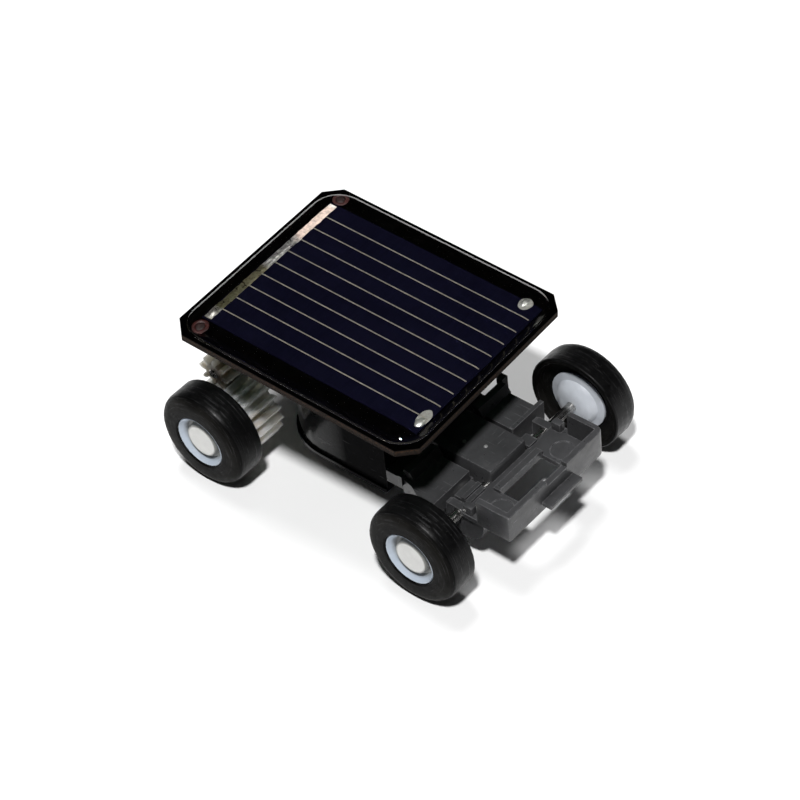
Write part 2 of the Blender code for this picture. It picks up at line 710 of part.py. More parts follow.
def make_front_chassis():
    """Blocks over the front axle, the ridge behind them and the open tray of the front bumper."""
    rear = TUB_FRONT_X + SEAT_GAP
    chassis = box(
        "front_chassis", (rear, -TUB_HALF_WIDTH, DECK_BOTTOM_Z), (8.05, TUB_HALF_WIDTH, 4.2),
        "charcoal_plastic",
    )
    centre_block = box(
        "centre_block",
        (3.4, -CENTRE_BLOCK_HALF_WIDTH, DECK_BOTTOM_Z),
        (TRAY_FLOOR_REAR_X + 0.05, CENTRE_BLOCK_HALF_WIDTH, CENTRE_BLOCK_TOP_Z),
    )
    bevel(centre_block, 0.18, 2, 60.0)
    joins = [centre_block]
    ridge_top = [(5.55, SIDE_BLOCK_TOP_Z), (5.15, RIDGE_TOP_Z), (4.6, RIDGE_TOP_Z)]
    ridge_outline = [(4.6, 4.0), (5.55, 4.0), *ridge_top]
    for name, side in (("left", 1), ("right", -1)):
        low, high = sorted((side * 2.35, side * 5.65))
        ridge = prism(name + "_ridge", ridge_outline, low, high, "Y")
        low, high = sorted((side * 4.75, side * 5.3))
        arm = box(name + "_arm", (6.0, low, DECK_BOTTOM_Z + 0.15), (11.3, high, TRAY_FLOOR_Z - 0.08))
        low, high = sorted((side * 4.7, side * 5.35))
        ear = cylinder(name + "_ear", EAR_R, low, high, "Y", (EAR_X, 0, EAR_Z))
        ear_cut = box(name + "_ear_cut", (6, low - 1, TRAY_FLOOR_Z - 0.04), (13, high + 1, 8))
        cut(ear, ear_cut)
        low, high = sorted((side * 4.85, side * 5.5))
        post = box(name + "_post", (9.85, low, TRAY_BOTTOM_Z + 0.1), (10.75, high, 5.4))
        bevel(post, 0.15, 2, 60.0)
        joins += [ridge, arm, ear, post]
    left_block = box(
        "left_block",
        (5.2, SIDE_BLOCK_INNER_Y, DECK_BOTTOM_Z + 0.1),
        (8.1, SIDE_BLOCK_OUTER_Y, SIDE_BLOCK_TOP_Z),
    )
    left_plate = box(
        "left_plate", (7.85, 2.6, DECK_BOTTOM_Z + 0.2), (BLOCK_FRONT_X, 6.2, SIDE_BLOCK_TOP_Z + 0.04)
    )
    left_hook = box("left_hook", (4.3, 5.55, 5.0), (4.85, 6.2, RIDGE_TOP_Z + 0.25))
    flare = [
        (5.2, -2.55), (BLOCK_FRONT_X, -2.55), (BLOCK_FRONT_X, -6.75), (7.0, -6.75), (6.5, -6.6), (5.8, -6.2),
        (4.7, -5.95), (4.7, -5.3), (5.2, -5.3),
    ]
    right_block = prism("right_block", flare[::-1], DECK_BOTTOM_Z + 0.9, SIDE_BLOCK_TOP_Z, "Z")
    right_core = box("right_core", (5.3, -5.5, DECK_BOTTOM_Z + 0.1), (8.0, -2.7, SIDE_BLOCK_TOP_Z - 0.1))
    right_lug = box("right_lug", (4.5, -6.2, 4.9), (4.85, -5.6, 5.8))
    right_clip = box("right_clip", (8.45, -4.65, 4.55), (TRAY_FLOOR_REAR_X + 0.1, -2.75, 4.84))
    right_clip_lip = box("right_clip_lip", (9.1, -4.65, 4.6), (9.45, -2.75, 5.05))
    left_clip = box("left_clip", (8.8, 2.3, 4.55), (TRAY_FLOOR_REAR_X + 0.1, 3.3, 4.85))
    joins += [left_block, left_plate, left_hook, left_clip]
    joins += [right_block, right_core, right_lug, right_clip, right_clip_lip]
    floor = box(
        "tray_floor",
        (TRAY_FLOOR_REAR_X, -TRAY_HALF_WIDTH + 0.05, TRAY_BOTTOM_Z + 0.03),
        (TRAY_FRONT_X - 0.3, TRAY_HALF_WIDTH - 0.05, TRAY_FLOOR_Z),
    )
    corner_r = 0.6
    corner = arc((TRAY_FRONT_X - corner_r, TRAY_HALF_WIDTH - corner_r), corner_r, 0, 90, 4)
    rim_outline = [
        (TRAY_REAR_X, -TRAY_HALF_WIDTH),
        (TRAY_FRONT_X, -TRAY_HALF_WIDTH),
        *corner,
        (TRAY_REAR_X, TRAY_HALF_WIDTH),
    ]
    rim = prism("tray_rim", rim_outline, TRAY_BOTTOM_Z, TRAY_TOP_Z, "Z")
    bevel(rim, 0.14, 2, 60.0)
    inside = box(
        "tray_inside",
        (TRAY_REAR_X - 1, -TRAY_HALF_WIDTH + TRAY_WALL, TRAY_FLOOR_Z - 0.04),
        (TRAY_FRONT_X - TRAY_WALL, TRAY_HALF_WIDTH - TRAY_WALL, TRAY_TOP_Z + 1),
    )
    cut(rim, inside)
    rib = box("opening_rib", (10.35, -2.5, TRAY_BOTTOM_Z), (11.0, 2.5, TRAY_FLOOR_Z + 0.28))
    tab = box("bumper_tab", (TRAY_FRONT_X - 0.3, -TAB_HALF_WIDTH, 4.85), (TAB_FRONT_X, TAB_HALF_WIDTH, 5.2))
    bevel(tab, 0.06, 1, 60.0)
    joins += [floor, rim, rib, tab]
    opening = box("tray_opening", (10.9, -2.35, 3.0), (13.3, 2.35, 5.6))
    notch = box("tray_notch", (TRAY_FRONT_X - 1.0, -1.15, 6.25), (TRAY_FRONT_X + 1, 1.15, 8.0))
    bore = cylinder("front_axle_bore", AXLE_R + RUNNING_GAP, -8, 8, "Y", (FRONT_X, 0, AXLE_Z), segments=24)
    marks = [
        cylinder(name + "_pin_mark", 0.95, TRAY_FLOOR_Z - 0.07, 6.0, "Z", (11.95, y, 0), segments=28)
        for name, y in (("left", 3.6), ("right", -3.6))
    ]
    join(chassis, *joins)
    cut(chassis, *marks, opening, bore, notch)
    return chassis


# Solar panel


def make_panel():
    """Laminate board, silicon cell with its printed comb, pads, solder joints and the clear epoxy dome."""
    frame = new_empty("panel_frame", (PANEL_X, 0.0, PANEL_Z), (0.0, PANEL_TILT, PANEL_TURN))
    half_l, half_w = BOARD_LENGTH / 2, BOARD_WIDTH / 2
    c = BOARD_CHAMFER
    outline = []
    for sx, sy in ((1, 1), (-1, 1), (-1, -1), (1, -1)):
        corner = [(sx * half_l, sy * (half_w - c)), (sx * (half_l - c), sy * half_w)]
        outline += corner if sx * sy > 0 else corner[::-1]
    prism("panel_board", outline, 0.0, BOARD_THICKNESS, "Z", "board_laminate", frame)
    cell_low = BOARD_THICKNESS + SEAT_GAP
    cell_top = cell_low + CELL_THICKNESS
    cell_corners = (CELL_REAR, -CELL_HALF_WIDTH, cell_low), (CELL_FRONT, CELL_HALF_WIDTH, cell_top)
    box("solar_cell", *cell_corners, "silicon", frame)
    print_low = cell_top + SEAT_GAP / 2
    print_top = print_low + PRINT_THICKNESS
    bus_front = BUSBAR_X + BUSBAR_WIDTH / 2
    bus_rear = BUSBAR_X - BUSBAR_WIDTH / 2
    comb = [(bus_rear, -BUSBAR_HALF_LENGTH), (bus_front, -BUSBAR_HALF_LENGTH)]
    tip = CELL_FRONT - 0.15
    for finger in range(FINGERS):
        y = (finger - (FINGERS - 1) / 2) * FINGER_PITCH
        low, high = y - FINGER_WIDTH / 2, y + FINGER_WIDTH / 2
        comb += [(bus_front, low), (tip, low), (tip, high), (bus_front, high)]
    comb += [(bus_front, BUSBAR_HALF_LENGTH), (bus_rear, BUSBAR_HALF_LENGTH)]
    prism("cell_grid", comb, print_low, print_top, "Z", "silver_print", frame)
    ribbon_low = print_top + SEAT_GAP / 2
    ribbon_half = BUSBAR_HALF_LENGTH - 0.1
    ribbon = box(
        "busbar_ribbon",
        (bus_rear + RIBBON_INSET, -ribbon_half, ribbon_low),
        (bus_front - RIBBON_INSET, ribbon_half, ribbon_low + 0.08),
        "tinned_metal",
        frame,
    )
    bevel(ribbon, 0.03, 1, 60.0)
    for name, x, y in (("left", -9.05, 8.25), ("right", -9.0, -8.25)):
        pad = cylinder(
            "rear_pad_" + name, 0.62, BOARD_THICKNESS + SEAT_GAP, BOARD_THICKNESS + 0.2, "Z", (x, y, 0),
            "copper", frame, 24,
        )
        bevel(pad, 0.05, 1, 60.0)
    for name, x, y in (("left", 9.35, 6.85), ("right", 9.45, -6.85)):
        low = print_top + SEAT_GAP / 2
        joint = cylinder("front_solder_" + name, 0.5, low, low + 0.07, "Z", (x, y, 0), "tinned_metal", frame)
        bevel(joint, 0.03, 1, 60.0)
    dome_l, dome_w = half_l - DOME_INSET, half_w - DOME_INSET
    dome_low = BOARD_THICKNESS + SEAT_GAP / 2
    dome = prism(
        "epoxy_dome", rounded_rectangle((-dome_l, -dome_w), (dome_l, dome_w), DOME_CORNER_R), dome_low,
        dome_low + DOME_THICKNESS, "Z", "epoxy", frame,
    )
    rounded_edge(dome, dome_low + DOME_THICKNESS, DOME_EDGE_R)
    pocket = box(
        "dome_pocket", (-10.15, -9.0, 0.0), (10.4, 9.0, BOARD_THICKNESS + POCKET_HEIGHT), parent=frame
    )
    cut(dome, pocket)
    smooth(dome)
    tape_outline = rounded_rectangle((-5.6, -4.6), (4.9, 4.6), 0.4, 2)
    prism("panel_tape", tape_outline, -TAPE_THICKNESS - TAPE_GAP, -TAPE_GAP, "Z", "foam_tape", frame)


def wire(name, points, radius, material):
    """A round wire along a smooth path through the given points."""
    curve = bpy.data.curves.new(name, "CURVE")
    curve.dimensions = "3D"
    curve.bevel_depth = radius * MM
    curve.bevel_resolution = 1
    curve.use_fill_caps = True
    curve.resolution_u = 5
    spline = curve.splines.new("BEZIER")
    spline.bezier_points.add(len(points) - 1)
    for knot, place in zip(spline.bezier_points, points):
        knot.co = Vector(place) * MM
        knot.handle_left_type = "AUTO"
        knot.handle_right_type = "AUTO"
    return new_object(name, curve, material)


def make_wires():
    """Two short wires from solder joints under the board down to the motor's brush tabs."""
    tab_x = MOTOR_X + BRUSH_REACH - BRUSH_TAB / 2
    tab_y = CAN_BACK_Y + CAP_THICKNESS + BRUSH_STEM + WIRE_R + SEAT_GAP
    for name, side, material in (("positive", 1, "red_wire"), ("negative", -1, "black_wire")):
        start_x, start_y = tab_x + 0.3 + side * 1.0, tab_y + 1.3 - side * 0.4
        start_z = underside_z(start_x) - 0.33
        end_z = MOTOR_Z + side * (COMMUTATOR_R + RUNNING_GAP + BRUSH_THICKNESS / 2)
        path = [
            (start_x, start_y, start_z),
            (start_x + side * 0.3, start_y, start_z - 1.1),
            (tab_x + side * 0.55, tab_y + 0.25, (start_z + MOTOR_Z) / 2),
            (tab_x - 0.1 + side * 0.35, tab_y + 0.1, MOTOR_Z + 0.9 + side * 0.7),
            (tab_x, tab_y, end_z),
        ]
        wire("wire_" + name, path, WIRE_R, material)
        bead = cylinder(
            "board_solder_" + name, 0.5, start_z + 0.02, underside_z(start_x) - 0.08, "Z",
            (start_x, start_y, 0), "tinned_metal", segments=20,
        )
        hole = cylinder(
            f"bead_hole_{name}", WIRE_R + SEAT_GAP, start_z - 1, start_z + 0.1, "Z", (start_x, start_y, 0),
            segments=16,
        )
        cut(bead, hole)
        bevel(bead, 0.08, 1, 60.0)


def main():
    clear_scene()
    make_materials()
    make_rear_body()
    make_front_chassis()
    make_motor_case()
    make_rotor()
    make_rear_axle()
    make_front_axle()
    make_panel()
    make_wires()


main()
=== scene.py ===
"""Looks of a miniature solar-powered toy car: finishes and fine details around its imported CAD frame.

+X is forward, +Y is the car's left and +Z is up. Lengths are in millimetres unless a comment says
otherwise, and MM turns a length into Blender's metres. Textures are laid out in millimetres too.
"""

import math

import bmesh
import bpy
from mathutils import Euler, Matrix, Vector, noise


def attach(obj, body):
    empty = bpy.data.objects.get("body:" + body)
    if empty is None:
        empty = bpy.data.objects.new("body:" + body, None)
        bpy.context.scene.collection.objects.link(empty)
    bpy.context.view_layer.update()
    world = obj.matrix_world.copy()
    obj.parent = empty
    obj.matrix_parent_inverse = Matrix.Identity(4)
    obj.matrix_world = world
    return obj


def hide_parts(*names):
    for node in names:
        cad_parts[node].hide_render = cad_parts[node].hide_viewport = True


MM = 0.001
WELD = 0.001

# Camera: a long lens, as far away as in a table-top picture of a small object
CAMERA_TARGET = (-1.7, 0.0, 5.0)
CAMERA_AZIMUTH = 44.682
CAMERA_ELEVATION = 43.943
CAMERA_ROLL = -6.803
CAMERA_DISTANCE = 213.17
CAMERA_SHIFT = (0.875, 0.0053)
LENS = 128.43
SENSOR = 36.0
NEAREST_SEEN = 10.0

# Studio: a round lamp high on the camera's side, a large soft one overhead, a faint sky for soft
# bounces only, and a pale backdrop that only the camera sees
KEY_DIRECTION = (0.26, -0.325, 0.92)
KEY_SIZE = 58.0
KEY_POWER = 3.5
SOFT_DIRECTION = (-0.30, 0.20, 1.0)
SOFT_SIZE = 220.0
SOFT_POWER = 1.75
LAMP_DISTANCE = 600.0
SKY = 0.08
BACKDROP = 0.88
FLOOR_HALF_SIZE = 300.0

# Solar panel, as the CAD builds it: a board tilted nose-down and turned a little to the left
PANEL_CENTRE = (-2.7, 0.0, 12.6)
PANEL_TILT = 4.1
PANEL_TURN = 2.4
BOARD_LENGTH = 22.0
BOARD_WIDTH = 19.2
BOARD_THICKNESS = 0.6
CELL_TOP = 0.77
PRINT_TOP = 0.83
SOLDER_LIFT = 0.015
PAD_LIFT = 0.02
BUSBAR_X = -9.05
BUSBAR_HALF_LENGTH = 7.35
BUSBAR_HALF_WIDTH = 0.33
DOME_INSET = 0.3
DOME_HEIGHT = 0.56
DOME_CORNER_R = 2.3
DOME_ROLL = 1.2
DOME_FLAT_INSET = 2.4
DOME_EDGE = 0.07
DOME_LIFT = 0.012
PANEL_EULER = Euler((0.0, math.radians(PANEL_TILT), math.radians(PANEL_TURN)), "XYZ")
PANEL_MATRIX = Matrix.Translation(Vector(PANEL_CENTRE) * MM) @ PANEL_EULER.to_matrix().to_4x4()

# Wheels and chassis
AXLE_Z = 4.05
FRONT_AXLE_X = 9.3
REAR_AXLE_X = -11.1
TYRE_R = 4.0
TREAD_R = 3.95
HUB_FACE_Y = 9.4
BLOCK_TOP_Z = 5.8


# Procedural finishes


class Finish:
    """A Principled material fed by procedural nodes, laid out in millimetres of the piece's own space."""

    def __init__(self, name, colour=(0.5, 0.5, 0.5), roughness=0.5, metallic=0.0):
        self.material = bpy.data.materials.new(name)
        self.material.use_nodes = True
        self.tree = self.material.node_tree
        self.shader = self.tree.nodes["Principled BSDF"]
        self.output = self.tree.nodes["Material Output"]
        self.put("Base Color", colour)
        self.put("Roughness", roughness)
        self.put("Metallic", metallic)
        self.height = None
        place = self.add("ShaderNodeTexCoord").outputs["Object"]
        self.place = self.maths("SCALE", place, scale=1 / MM)

    def add(self, kind, **settings):
        node = self.tree.nodes.new(kind)
        for name, value in settings.items():
            setattr(node, name, value)
        return node

    def feed(self, socket, value):
        """Sets an input to a number or a colour, or links it to another node's output."""
        if isinstance(value, bpy.types.NodeSocket):
            self.tree.links.new(value, socket)
        elif socket.type == "RGBA":
            socket.default_value = (*value[:3], 1.0)
        else:
            socket.default_value = value

    def put(self, name, value):
        self.feed(self.shader.inputs[name], value)

    def maths(self, operation, first, second=(0.0, 0.0, 0.0), scale=1.0):
        """Vector arithmetic."""
        node = self.add("ShaderNodeVectorMath", operation=operation)
        self.feed(node.inputs[0], first)
        if operation == "SCALE":
            node.inputs["Scale"].default_value = scale
        else:
            self.feed(node.inputs[1], second)
        return node.outputs["Value" if operation == "DOT_PRODUCT" else "Vector"]

    def number(self, operation, first, second=0.0, clamp=False):
        """Arithmetic on single numbers."""
        node = self.add("ShaderNodeMath", operation=operation, use_clamp=clamp)
        self.feed(node.inputs[0], first)
        self.feed(node.inputs[1], second)
        return node.outputs[0]

    def split(self, vector):
        """The x, y and z of a vector."""
        node = self.add("ShaderNodeSeparateXYZ")
        self.feed(node.inputs[0], vector)
        return node.outputs

    def stretch(self, scale, turn=(0.0, 0.0, 0.0), place=None):
        """The texture's place scaled along its axes and turned by the given degrees."""
        node = self.add("ShaderNodeMapping")
        self.feed(node.inputs["Vector"], place or self.place)
        node.inputs["Scale"].default_value = scale
        node.inputs["Rotation"].default_value = [math.radians(angle) for angle in turn]
        return node.outputs[0]

    def about_axle(self, axle_x):
        """The place measured from an axle's middle: x, y, z and the distance from the axle's line."""
        x, y, z = self.split(self.maths("SUBTRACT", self.place, (axle_x, 0.0, AXLE_Z)))
        squares = self.number("ADD", self.number("MULTIPLY", x, x), self.number("MULTIPLY", z, z))
        return x, y, z, self.number("SQRT", squares)

    def noise(self, per_mm, detail, place=None, warp=0.0):
        """Cloudy noise around 0.5."""
        node = self.add("ShaderNodeTexNoise")
        self.feed(node.inputs["Vector"], place or self.place)
        node.inputs["Scale"].default_value = per_mm
        node.inputs["Detail"].default_value = detail
        node.inputs["Roughness"].default_value = 0.55
        node.inputs["Distortion"].default_value = warp
        return node.outputs["Fac"]

    def cells(self, per_mm):
        """Distance to the nearest of many scattered points."""
        node = self.add("ShaderNodeTexVoronoi")
        self.feed(node.inputs["Vector"], self.place)
        node.inputs["Scale"].default_value = per_mm
        return node.outputs["Distance"]

    def ramp(self, factor, *stops):
        """A colour or grey that changes with factor; each stop is (place, colour or grey)."""
        node = self.add("ShaderNodeValToRGB")
        self.feed(node.inputs[0], factor)
        ramp = node.color_ramp
        while len(ramp.elements) < len(stops):
            ramp.elements.new(1.0)
        for element, (place, value) in zip(ramp.elements, stops):
            element.position = place
            grey = isinstance(value, (int, float))
            element.color = (value, value, value, 1.0) if grey else (*value, 1.0)
        return node.outputs["Color"]

    def blend(self, factor, first, second, mode="MIX"):
        node = self.add("ShaderNodeMix", data_type="RGBA", blend_type=mode)
        self.feed(node.inputs["Factor"], factor)
        self.feed(node.inputs[6], first)
        self.feed(node.inputs[7], second)
        return node.outputs[2]

    def bump(self, height, depth):
        """Adds relief of the given depth in millimetres; calls stack up."""
        node = self.add("ShaderNodeBump")
        node.inputs["Strength"].default_value = 1.0
        node.inputs["Distance"].default_value = depth * MM
        self.feed(node.inputs["Height"], height)
        if self.height:
            self.feed(node.inputs["Normal"], self.height)
        self.height = node.outputs[0]
        self.put("Normal", self.height)

    def edges(self, radius):
        """0 on flat faces, rising towards 1 on edges sharper than the given radius."""
        soft = self.add("ShaderNodeBevel", samples=4)
        soft.inputs["Radius"].default_value = radius * MM
        hard = self.add("ShaderNodeNewGeometry")
        alike = self.maths("DOT_PRODUCT", soft.outputs[0], hard.outputs["Normal"])
        return self.ramp(alike, (0.80, 1.0), (0.99, 0.0))


def moulded_finish(name, colour, roughness, edge_colour, grain=0.006, wave=0.03, wear=0.5, shine=(0.5, 0.5)):
    """Injection-moulded plastic: fine grain, slow waves, hairline scratches and paler, scuffed edges.

    shine is the specular level towards the front and at the rear.
    """
    finish = Finish(name)
    patch = finish.noise(0.8, 4.0)
    body = finish.ramp(patch, (0.3, [c * 0.86 for c in colour]), (0.7, [c * 1.14 for c in colour]))
    scratch_a = finish.noise(3.0, 2.0, place=finish.stretch((0.15, 4.0, 1.0), (0, 0, 20)))
    scratch_b = finish.noise(3.5, 2.0, place=finish.stretch((4.0, 0.2, 1.0), (0, 0, -35)))
    scratch = finish.number("MAXIMUM", finish.ramp(scratch_a, (0.68, 0.0), (0.74, 1.0)),
                            finish.ramp(scratch_b, (0.70, 0.0), (0.76, 1.0)))
    body = finish.blend(finish.number("MULTIPLY", scratch, 0.25), body, edge_colour)
    uneven = finish.ramp(finish.noise(2.5, 4.0), (0.4, 0.1), (0.62, wear))
    worn = finish.number("MULTIPLY", finish.edges(0.12), uneven)
    body = finish.blend(worn, body, edge_colour)
    finish.put("Base Color", body)
    rough = finish.ramp(finish.noise(1.7, 5.0, warp=0.4), (0.3, roughness * 0.75), (0.7, roughness * 1.3))
    scratched = finish.number("MULTIPLY", scratch, 0.12)
    finish.put("Roughness", finish.number("ADD", rough, scratched, clamp=True))
    x = finish.split(finish.place)[0]
    rearness = finish.number("MULTIPLY", finish.number("SUBTRACT", 0.6, x), 0.2, clamp=True)
    front, rear = shine
    finish.put("Specular IOR Level", finish.ramp(rearness, (0.0, front), (0.45, front), (1.0, rear)))
    finish.bump(finish.noise(0.9, 2.0), wave)
    finish.bump(finish.noise(14.0, 3.0), grain)
    finish.bump(scratch, 0.004)
    return finish.material


def rubber_finish(name, axle_x):
    """Matt black tyre: moulding grain, scuffs that run around the tread, and pale dust."""
    finish = Finish(name)
    x, y, z, reach = finish.about_axle(axle_x)
    turn = finish.number("ARCTAN2", z, x)
    around = finish.add("ShaderNodeCombineXYZ")
    finish.feed(around.inputs[0], finish.number("MULTIPLY", turn, 1.1))
    finish.feed(around.inputs[1], finish.number("MULTIPLY", y, 6.0))
    finish.feed(around.inputs[2], finish.number("MULTIPLY", reach, 6.0))
    scuff = finish.noise(2.0, 5.0, place=around.outputs[0])
    scuffed = finish.ramp(scuff, (0.57, 0.0), (0.70, 1.0))
    on_tread = finish.number("GREATER_THAN", reach, TREAD_R)
    dust = finish.ramp(finish.cells(4.2), (0.0, 1.0), (0.085, 0.0))
    dusty = finish.number("MULTIPLY", dust, finish.ramp(finish.noise(0.9, 2.0), (0.45, 0.0), (0.6, 1.0)))
    dark, less_dark = (0.0016, 0.0016, 0.0017), (0.0040, 0.0040, 0.0042)
    black = finish.ramp(finish.noise(1.2, 4.0), (0.3, dark), (0.7, less_dark))
    dark_wall, pale_wall = (0.004, 0.0038, 0.0035), (0.010, 0.0095, 0.0085)
    wall = finish.ramp(finish.noise(0.7, 4.0), (0.3, dark_wall), (0.7, pale_wall))
    outward = finish.number("DIVIDE", reach, TYRE_R)
    ring = finish.ramp(outward, (0.68, 0.25), (0.80, 1.0), (0.93, 1.0), (0.985, 0.0))
    base = finish.blend(ring, black, wall)
    grey = finish.blend(finish.number("MULTIPLY", scuffed, 0.5), base, (0.040, 0.040, 0.042))
    grey = finish.blend(finish.number("MULTIPLY", dusty, 0.6), grey, (0.30, 0.29, 0.28))
    finish.put("Base Color", grey)
    rough = finish.ramp(finish.noise(2.2, 4.0), (0.3, 0.34), (0.7, 0.52))
    finish.put("Roughness", finish.number("SUBTRACT", rough, finish.number("MULTIPLY", on_tread, 0.06)))
    finish.put("Specular IOR Level", finish.ramp(on_tread, (0.0, 0.04), (1.0, 0.13)))
    finish.bump(finish.noise(0.8, 2.0), 0.03)
    finish.bump(scuffed, 0.006)
    finish.bump(finish.noise(16.0, 2.0), 0.004)
    return finish.material


def hub_finish(name, axle_x):
    """Milky nylon: a cream cap, painted shade in the groove around it and a bluish ring; plain on the inner
    side.
    """
    finish = Finish(name)
    _, y, _, reach = finish.about_axle(axle_x)
    # The dark stops at 0.45 and 0.56 are painted shade in the groove around the cap, not a colour of the
    # nylon.
    tone = finish.ramp(finish.number("DIVIDE", reach, 3.0), (0.40, (0.70, 0.70, 0.68)),
                       (0.45, (0.20, 0.20, 0.185)), (0.56, (0.20, 0.21, 0.21)),
                       (0.64, (0.46, 0.52, 0.60)), (0.76, (0.50, 0.56, 0.64)), (0.79, (0.34, 0.36, 0.38)))
    outer = finish.number("GREATER_THAN", finish.number("ABSOLUTE", y), HUB_FACE_Y)
    tone = finish.blend(outer, (0.60, 0.63, 0.68), tone)
    cloud = finish.ramp(finish.noise(1.1, 3.0), (0.3, 0.90), (0.7, 1.0))
    finish.put("Base Color", finish.blend(1.0, tone, cloud, "MULTIPLY"))
    finish.put("Roughness", finish.ramp(finish.noise(3.0, 3.0), (0.3, 0.30), (0.7, 0.46)))
    finish.put("Subsurface Weight", 0.25)
    finish.put("Subsurface Radius", (1.0, 1.0, 1.1))
    finish.put("Subsurface Scale", 0.25 * MM)
    finish.bump(finish.noise(1.5, 2.0), 0.02)
    finish.bump(finish.noise(18.0, 2.0), 0.003)
    return finish.material


def nylon_finish(name, tint=(0.57, 0.575, 0.555)):
    """Translucent white nylon with slow flow marks and patches of grease."""
    finish = Finish(name)
    cloud = finish.ramp(finish.noise(0.9, 3.0), (0.3, [c * 0.88 for c in tint]), (0.7, tint))
    grease = finish.ramp(finish.noise(0.55, 5.0, warp=0.6), (0.50, 0.0), (0.68, 0.55))
    finish.put("Base Color", finish.blend(grease, cloud, (0.40, 0.30, 0.21)))
    finish.put("Roughness", finish.ramp(finish.noise(2.6, 3.0), (0.3, 0.55), (0.7, 0.72)))
    finish.put("Specular IOR Level", 0.12)
    finish.put("Subsurface Weight", 1.0)
    finish.put("Subsurface Radius", (1.2, 1.15, 1.0))
    finish.put("Subsurface Scale", 2.2 * MM)
    finish.bump(finish.noise(2.0, 2.0), 0.02)
    finish.bump(finish.noise(20.0, 2.0), 0.003)
    return finish.material


def metal_finish(name, colour, roughness, tarnish, grain_along="Y", lumps=0.01):
    """Drawn or plated metal: fine lines along one axis, clouded tarnish and small dents."""
    finish = Finish(name, metallic=1.0)
    along = {"X": (0.3, 9.0, 9.0), "Y": (9.0, 0.3, 9.0), "Z": (9.0, 9.0, 0.3)}[grain_along]
    lines = finish.noise(2.0, 3.0, place=finish.stretch(along))
    cloud = finish.noise(1.3, 5.0, warp=0.6)
    finish.put("Base Color", finish.ramp(cloud, (0.35, tarnish), (0.62, colour)))
    rough = finish.ramp(lines, (0.3, roughness * 0.7), (0.7, roughness * 1.35))
    finish.put("Roughness", rough)
    finish.bump(lines, 0.004)
    finish.bump(finish.noise(2.2, 3.0), lumps)
    return finish.material


def powder_finish(name, colour, roughness, per_mm=9.0, depth=0.02, spread=0.25):
    """Granular matt stuff: ferrite, foam, putty."""
    finish = Finish(name)
    low, high = [c * (1 - spread) for c in colour], [min(1.0, c * (1 + spread)) for c in colour]
    finish.put("Base Color", finish.ramp(finish.noise(per_mm, 4.0), (0.3, low), (0.7, high)))
    rough = finish.ramp(finish.noise(per_mm / 2, 3.0), (0.3, roughness * 0.85), (0.7, roughness))
    finish.put("Roughness", rough)
    finish.bump(finish.cells(per_mm), depth)
    finish.bump(finish.noise(per_mm / 3, 2.0), depth)
    return finish.material


def in_panel_axes(finish, vector):
    """A vector of the car's axes, given along the panel's."""
    rotate = finish.add("ShaderNodeVectorRotate", rotation_type="EULER_XYZ", invert=True)
    finish.feed(rotate.inputs["Vector"], vector)
    rotate.inputs["Rotation"].default_value = PANEL_EULER
    return rotate.outputs[0]


def panel_place(finish):
    """The texture's place measured from the panel's own centre, along its own axes."""
    return in_panel_axes(finish, finish.maths("SUBTRACT", finish.place, PANEL_CENTRE))


def board_finish(name):
    """Paper laminate: a black printed face, and sawn edges of brown layers, paler under the face."""
    finish = Finish(name)
    place = panel_place(finish)
    fibre = finish.noise(3.0, 4.0, place=place, warp=0.8)
    wander = finish.number("MULTIPLY", finish.number("SUBTRACT", fibre, 0.5), 0.12)
    depth = finish.number("DIVIDE", finish.split(place)[2], BOARD_THICKNESS)
    sawn = finish.ramp(finish.number("ADD", depth, wander), (0.0, (0.005, 0.002, 0.001)),
                       (0.20, (0.009, 0.004, 0.002)), (0.34, (0.024, 0.014, 0.009)),
                       (0.50, (0.017, 0.010, 0.006)), (0.66, (0.040, 0.025, 0.016)),
                       (0.80, (0.040, 0.017, 0.006)), (0.92, (0.004, 0.003, 0.002)))
    dirt = finish.ramp(finish.noise(6.0, 4.0), (0.4, 0.0), (0.62, 0.85))
    sawn = finish.blend(dirt, sawn, (0.006, 0.005, 0.004))
    geometry = finish.add("ShaderNodeNewGeometry")
    facing = finish.split(in_panel_axes(finish, geometry.outputs["Normal"]))[2]
    upward = finish.number("GREATER_THAN", facing, 0.7)
    downward = finish.number("LESS_THAN", facing, -0.7)
    level = finish.number("MAXIMUM", upward, downward)
    black, less_black = (0.0002, 0.0002, 0.0002), (0.0005, 0.00045, 0.0004)
    printed = finish.ramp(finish.noise(5.0, 3.0), (0.3, black), (0.7, less_black))
    under = finish.ramp(finish.noise(1.5, 3.0), (0.3, (0.012, 0.045, 0.022)), (0.7, (0.018, 0.062, 0.030)))
    finish.put("Base Color", finish.blend(upward, finish.blend(downward, sawn, under), printed))
    finish.put("Roughness", finish.ramp(level, (0.0, 0.75), (1.0, 0.4)))
    finish.put("Specular IOR Level", finish.ramp(upward, (0.0, 0.12), (1.0, 0.0)))
    sides = finish.number("SUBTRACT", 1.0, level)
    finish.bump(finish.number("MULTIPLY", finish.noise(8.0, 4.0), sides), 0.10)
    finish.bump(finish.noise(12.0, 3.0), 0.006)
    return finish.material


def silicon_finish(name):
    """Dark blue cell: a velvety etched surface with faint bands across the wafer."""
    finish = Finish(name)
    place = panel_place(finish)
    bands = finish.noise(1.6, 3.0, place=finish.stretch((7.0, 0.15, 1.0), place=place))
    cloud = finish.noise(0.25, 3.0, place=place)
    tone = finish.ramp(cloud, (0.3, (0.0016, 0.0016, 0.0048)), (0.7, (0.0024, 0.0024, 0.0070)))
    tone = finish.blend(finish.ramp(bands, (0.42, 0.0), (0.62, 0.5)), tone, (0.0032, 0.0032, 0.0085))
    finish.put("Base Color", tone)
    finish.put("Roughness", finish.ramp(finish.noise(3.0, 3.0, place=place), (0.3, 0.40), (0.7, 0.50)))
    finish.put("Specular IOR Level", 0.0)
    finish.bump(finish.noise(22.0, 2.0, place=place), 0.002)
    return finish.material


